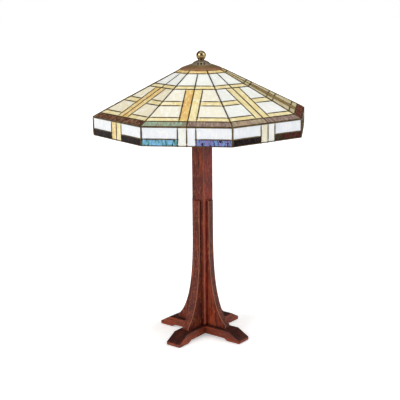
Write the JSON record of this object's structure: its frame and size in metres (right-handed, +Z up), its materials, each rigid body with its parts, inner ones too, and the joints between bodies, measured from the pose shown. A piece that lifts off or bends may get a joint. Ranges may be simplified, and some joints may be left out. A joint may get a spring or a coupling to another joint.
{
  "type": "table lamp",
  "caption": "Table lamp with an octagonal leaded opal glass shade, a vented cap and ball knob, on a square oak post with curved corbels and a cross-shaped foot.",
  "frame": {"origin": "centre of the base, on the table", "axes": "+Z up; the lower foot beam and the two sockets lie along X, the upper foot beam along Y"},
  "size_m": [0.4666, 0.4666, 0.6331],
  "materials": {
    "ball_knob": "antique brass, lightly tarnished",
    "base_nut": "zinc-plated steel",
    "base_washer": "zinc-plated steel",
    "bulb_base_1": "bare aluminium screw base",
    "bulb_base_2": "bare aluminium screw base",
    "bulb_glass_1": "frosted glass envelope",
    "bulb_glass_2": "frosted glass envelope",
    "centre_post": "red-brown stained quarter-sawn oak, satin varnish",
    "chain_guide_1": "antique brass, lightly tarnished",
    "chain_guide_2": "antique brass, lightly tarnished",
    "cluster_body": "antique brass, lightly tarnished",
    "cone_pane_1": "milky cream opalescent sheet glass",
    "cone_pane_2": "milky cream opalescent sheet glass",
    "cone_pane_3": "milky cream opalescent sheet glass",
    "cone_pane_4": "milky cream opalescent sheet glass",
    "cone_pane_5": "milky cream opalescent sheet glass",
    "cone_pane_6": "milky cream opalescent sheet glass",
    "cone_pane_7": "milky cream opalescent sheet glass",
    "cone_pane_8": "milky cream opalescent sheet glass",
    "corbel_1": "red-brown stained quarter-sawn oak, satin varnish",
    "corbel_2": "red-brown stained quarter-sawn oak, satin varnish",
    "corbel_3": "red-brown stained quarter-sawn oak, satin varnish",
    "corbel_4": "red-brown stained quarter-sawn oak, satin varnish",
    "corbel_screw_1": "zinc-plated steel",
    "corbel_screw_2": "zinc-plated steel",
    "corbel_screw_3": "zinc-plated steel",
    "corbel_screw_4": "zinc-plated steel",
    "cord_bushing": "black moulded phenolic",
    "felt_disc_1": "dark green felt",
    "felt_disc_2": "dark green felt",
    "felt_disc_3": "dark green felt",
    "felt_disc_4": "dark green felt",
    "foot_beam_lower": "red-brown stained quarter-sawn oak, satin varnish",
    "foot_beam_upper": "red-brown stained quarter-sawn oak, satin varnish",
    "lamp_pipe": "zinc-plated steel",
    "cone_leading": "lead came and solder with a brown patina",
    "skirt_leading": "lead came and solder with a brown patina",
    "pipe_locknut": "antique brass, lightly tarnished",
    "post_plate": "antique brass, lightly tarnished",
    "pull_chain_1": "antique brass, lightly tarnished",
    "pull_chain_2": "antique brass, lightly tarnished",
    "seat_nut": "antique brass, lightly tarnished",
    "seat_washer": "antique brass, lightly tarnished",
    "skirt_pane_1": "milky cream opalescent sheet glass",
    "skirt_pane_2": "milky cream opalescent sheet glass",
    "skirt_pane_3": "milky cream opalescent sheet glass",
    "skirt_pane_4": "milky cream opalescent sheet glass",
    "skirt_pane_5": "milky cream opalescent sheet glass",
    "skirt_pane_6": "milky cream opalescent sheet glass",
    "skirt_pane_7": "milky cream opalescent sheet glass",
    "skirt_pane_8": "milky cream opalescent sheet glass",
    "socket_cap_1": "antique brass, lightly tarnished",
    "socket_cap_2": "antique brass, lightly tarnished",
    "socket_interior_1": "black moulded phenolic",
    "socket_interior_2": "black moulded phenolic",
    "socket_shell_1": "antique brass, lightly tarnished",
    "socket_shell_2": "antique brass, lightly tarnished",
    "spindle": "zinc-plated steel",
    "vented_cap": "spun cap with a brown bronze patina"
  },
  "bodies": {
    "base": {"base_nut": "base_nut", "base_washer": "base_washer", "centre_post": "centre_post", "chain_guide_1": "chain_guide_1", "chain_guide_2": "chain_guide_2", "cluster_body": "cluster_body", "corbel_1": "corbel_1", "corbel_2": "corbel_2", "corbel_3": "corbel_3", "corbel_4": "corbel_4", "corbel_screw_1": "corbel_screw_1", "corbel_screw_2": "corbel_screw_2", "corbel_screw_3": "corbel_screw_3", "corbel_screw_4": "corbel_screw_4", "cord_bushing": "cord_bushing", "felt_disc_1": "felt_disc_1", "felt_disc_2": "felt_disc_2", "felt_disc_3": "felt_disc_3", "felt_disc_4": "felt_disc_4", "foot_beam_lower": "foot_beam_lower", "foot_beam_upper": "foot_beam_upper", "lamp_pipe": "lamp_pipe", "pipe_locknut": "pipe_locknut", "post_plate": "post_plate", "seat_nut": "seat_nut", "socket_cap_1": "socket_cap_1", "socket_cap_2": "socket_cap_2", "socket_interior_1": "socket_interior_1", "socket_interior_2": "socket_interior_2", "socket_shell_1": "socket_shell_1", "socket_shell_2": "socket_shell_2", "spindle": "spindle"},
    "shade_seat": {"seat_washer": "seat_washer"},
    "shade": {"cone_leading": "cone_leading", "skirt_leading": "skirt_leading", "vented_cap": "vented_cap", "cone_pane_1": "cone_pane_1", "cone_pane_2": "cone_pane_2", "cone_pane_3": "cone_pane_3", "cone_pane_4": "cone_pane_4", "cone_pane_5": "cone_pane_5", "cone_pane_6": "cone_pane_6", "cone_pane_7": "cone_pane_7", "cone_pane_8": "cone_pane_8", "skirt_pane_1": "skirt_pane_1", "skirt_pane_2": "skirt_pane_2", "skirt_pane_3": "skirt_pane_3", "skirt_pane_4": "skirt_pane_4", "skirt_pane_5": "skirt_pane_5", "skirt_pane_6": "skirt_pane_6", "skirt_pane_7": "skirt_pane_7", "skirt_pane_8": "skirt_pane_8"},
    "knob": {"ball_knob": "ball_knob"},
    "bulb_1": {"bulb_base_1": "bulb_base_1", "bulb_glass_1": "bulb_glass_1"},
    "bulb_2": {"bulb_base_2": "bulb_base_2", "bulb_glass_2": "bulb_glass_2"},
    "chain_1": {"pull_chain_1": "pull_chain_1"},
    "chain_2": {"pull_chain_2": "pull_chain_2"}
  },
  "joints": [
    {"name": "shade_lift", "type": "slide", "parent": "base", "child": "shade_seat", "axis": [0, 0, 1], "range_m": [0, 0.16]},
    {"name": "shade_turn", "type": "hinge", "parent": "shade_seat", "child": "shade", "pos_m": [0, 0, 0.6], "axis": [0, 0, 1], "continuous": true},
    {"name": "knob_turn", "type": "hinge", "parent": "shade", "child": "knob", "pos_m": [0, 0, 0.62], "axis": [0, 0, 1], "continuous": true},
    {"name": "bulb_turn_1", "type": "hinge", "parent": "base", "child": "bulb_1", "pos_m": [0.1, 0, 0.508], "axis": [1, 0, 0], "continuous": true},
    {"name": "bulb_turn_2", "type": "hinge", "parent": "base", "child": "bulb_2", "pos_m": [-0.1, 0, 0.508], "axis": [-1, 0, 0], "continuous": true},
    {"name": "pull_1", "type": "slide", "parent": "base", "child": "chain_1", "axis": [0, 0, -1], "range_m": [0, 0.012], "stiffness_N_per_m": 400, "springref_m": -0.002},
    {"name": "pull_2", "type": "slide", "parent": "base", "child": "chain_2", "axis": [0, 0, -1], "range_m": [0, 0.012], "stiffness_N_per_m": 400, "springref_m": -0.002}
  ]
}
